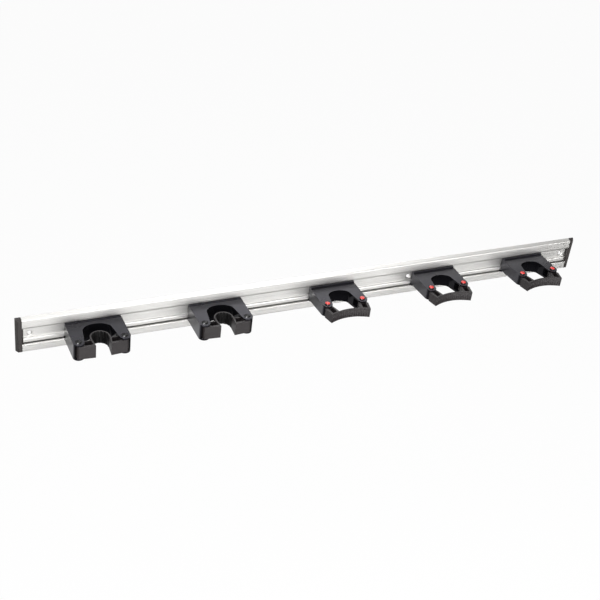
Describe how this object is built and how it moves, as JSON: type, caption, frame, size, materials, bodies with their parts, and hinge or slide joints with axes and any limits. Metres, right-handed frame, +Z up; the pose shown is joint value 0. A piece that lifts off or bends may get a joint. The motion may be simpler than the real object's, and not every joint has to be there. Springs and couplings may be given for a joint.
{
  "type": "clamp rack",
  "caption": "Wall rack for long tool handles: a satin aluminium rail with black end caps, open rubber clips and closed rubber-fronted holders that slide along it.",
  "frame": {"origin": "centre of the rail's back face, on the wall", "axes": "+X along the rail, to the right as seen from the room; +Y into the wall; +Z up; the holders reach out along -Y"},
  "size_m": [0.94, 0.0786, 0.0554],
  "materials": {
    "anodised_aluminium": "satin anodised extrusion",
    "black_plastic": "semi-gloss moulded",
    "black_rubber": "matt moulded",
    "red_plastic": "gloss moulded"
  },
  "bodies": {
    "rail": {"rail": "anodised_aluminium", "end_cap_left": "black_plastic", "end_cap_right": "black_plastic"},
    "holder_1": {"holder_1_body": "black_plastic", "holder_1_pin_left": "black_plastic", "holder_1_pin_right": "black_plastic", "holder_1_grip_arch": "black_rubber"},
    "jaw_1_left": {"holder_1_jaw_left": "black_rubber"},
    "jaw_1_right": {"holder_1_jaw_right": "black_rubber"},
    "holder_2": {"holder_2_body": "black_plastic", "holder_2_pin_left": "black_plastic", "holder_2_pin_right": "black_plastic", "holder_2_grip_arch": "black_rubber"},
    "jaw_2_left": {"holder_2_jaw_left": "black_rubber"},
    "jaw_2_right": {"holder_2_jaw_right": "black_rubber"},
    "holder_3": {"holder_3_body": "black_plastic", "holder_3_pin_left": "red_plastic", "holder_3_pin_right": "red_plastic", "holder_3_front_band": "black_rubber"},
    "jaw_3_left": {"holder_3_jaw_left": "black_rubber"},
    "jaw_3_right": {"holder_3_jaw_right": "black_rubber"},
    "holder_4": {"holder_4_body": "black_plastic", "holder_4_pin_left": "red_plastic", "holder_4_pin_right": "red_plastic", "holder_4_front_band": "black_rubber"},
    "jaw_4_left": {"holder_4_jaw_left": "black_rubber"},
    "jaw_4_right": {"holder_4_jaw_right": "black_rubber"},
    "holder_5": {"holder_5_body": "black_plastic", "holder_5_pin_left": "red_plastic", "holder_5_pin_right": "red_plastic", "holder_5_front_band": "black_rubber"},
    "jaw_5_left": {"holder_5_jaw_left": "black_rubber"},
    "jaw_5_right": {"holder_5_jaw_right": "black_rubber"}
  },
  "joints": [
    {"name": "holder_1_slide", "type": "slide", "parent": "rail", "child": "holder_1", "axis": [1, 0, 0], "range_m": [-0.05, 0.048]},
    {"name": "holder_1_jaw_left_turn", "type": "hinge", "parent": "holder_1", "child": "jaw_1_left", "pos_m": [-0.3938, -0.054, 0], "axis": [0, 0, 1], "range_deg": [-8, 15], "stiffness_Nm_per_rad": 0.3, "deforming": ["holder_1_grip_arch"]},
    {"name": "holder_1_jaw_right_turn", "type": "hinge", "parent": "holder_1", "child": "jaw_1_right", "pos_m": [-0.3278, -0.054, 0], "axis": [0, 0, 1], "range_deg": [-15, 8], "stiffness_Nm_per_rad": 0.3},
    {"name": "holder_2_slide", "type": "slide", "parent": "rail", "child": "holder_2", "axis": [1, 0, 0], "range_m": [-0.048, 0.055]},
    {"name": "holder_2_jaw_left_turn", "type": "hinge", "parent": "holder_2", "child": "jaw_2_left", "pos_m": [-0.2091, -0.054, 0], "axis": [0, 0, 1], "range_deg": [-8, 15], "stiffness_Nm_per_rad": 0.3, "deforming": ["holder_2_grip_arch"]},
    {"name": "holder_2_jaw_right_turn", "type": "hinge", "parent": "holder_2", "child": "jaw_2_right", "pos_m": [-0.1431, -0.054, 0], "axis": [0, 0, 1], "range_deg": [-15, 8], "stiffness_Nm_per_rad": 0.3},
    {"name": "holder_3_slide", "type": "slide", "parent": "rail", "child": "holder_3", "axis": [1, 0, 0], "range_m": [-0.055, 0.05]},
    {"name": "holder_3_jaw_left_turn", "type": "hinge", "parent": "holder_3", "child": "jaw_3_left", "pos_m": [-0.01225, -0.053, 0], "axis": [0, 0, 1], "range_deg": [0, 20], "stiffness_Nm_per_rad": 0.3, "deforming": ["holder_3_front_band"]},
    {"name": "holder_3_jaw_right_turn", "type": "hinge", "parent": "holder_3", "child": "jaw_3_right", "pos_m": [0.04625, -0.053, 0], "axis": [0, 0, 1], "range_deg": [-20, 0], "stiffness_Nm_per_rad": 0.3},
    {"name": "holder_4_slide", "type": "slide", "parent": "rail", "child": "holder_4", "axis": [1, 0, 0], "range_m": [-0.048, 0.045]},
    {"name": "holder_4_jaw_left_turn", "type": "hinge", "parent": "holder_4", "child": "jaw_4_left", "pos_m": [0.16815, -0.053, 0], "axis": [0, 0, 1], "range_deg": [0, 20], "stiffness_Nm_per_rad": 0.3, "deforming": ["holder_4_front_band"]},
    {"name": "holder_4_jaw_right_turn", "type": "hinge", "parent": "holder_4", "child": "jaw_4_right", "pos_m": [0.22665, -0.053, 0], "axis": [0, 0, 1], "range_deg": [-20, 0], "stiffness_Nm_per_rad": 0.3},
    {"name": "holder_5_slide", "type": "slide", "parent": "rail", "child": "holder_5", "axis": [1, 0, 0], "range_m": [-0.045, 0.05]},
    {"name": "holder_5_jaw_left_turn", "type": "hinge", "parent": "holder_5", "child": "jaw_5_left", "pos_m": [0.33915, -0.053, 0], "axis": [0, 0, 1], "range_deg": [0, 20], "stiffness_Nm_per_rad": 0.3, "deforming": ["holder_5_front_band"]},
    {"name": "holder_5_jaw_right_turn", "type": "hinge", "parent": "holder_5", "child": "jaw_5_right", "pos_m": [0.39765, -0.053, 0], "axis": [0, 0, 1], "range_deg": [-20, 0], "stiffness_Nm_per_rad": 0.3}
  ],
  "couplings": [
    {"joint": "holder_1_jaw_right_turn", "follows": "holder_1_jaw_left_turn", "ratio": -1},
    {"joint": "holder_2_jaw_right_turn", "follows": "holder_2_jaw_left_turn", "ratio": -1},
    {"joint": "holder_3_jaw_right_turn", "follows": "holder_3_jaw_left_turn", "ratio": -1},
    {"joint": "holder_4_jaw_right_turn", "follows": "holder_4_jaw_left_turn", "ratio": -1},
    {"joint": "holder_5_jaw_right_turn", "follows": "holder_5_jaw_left_turn", "ratio": -1}
  ]
}
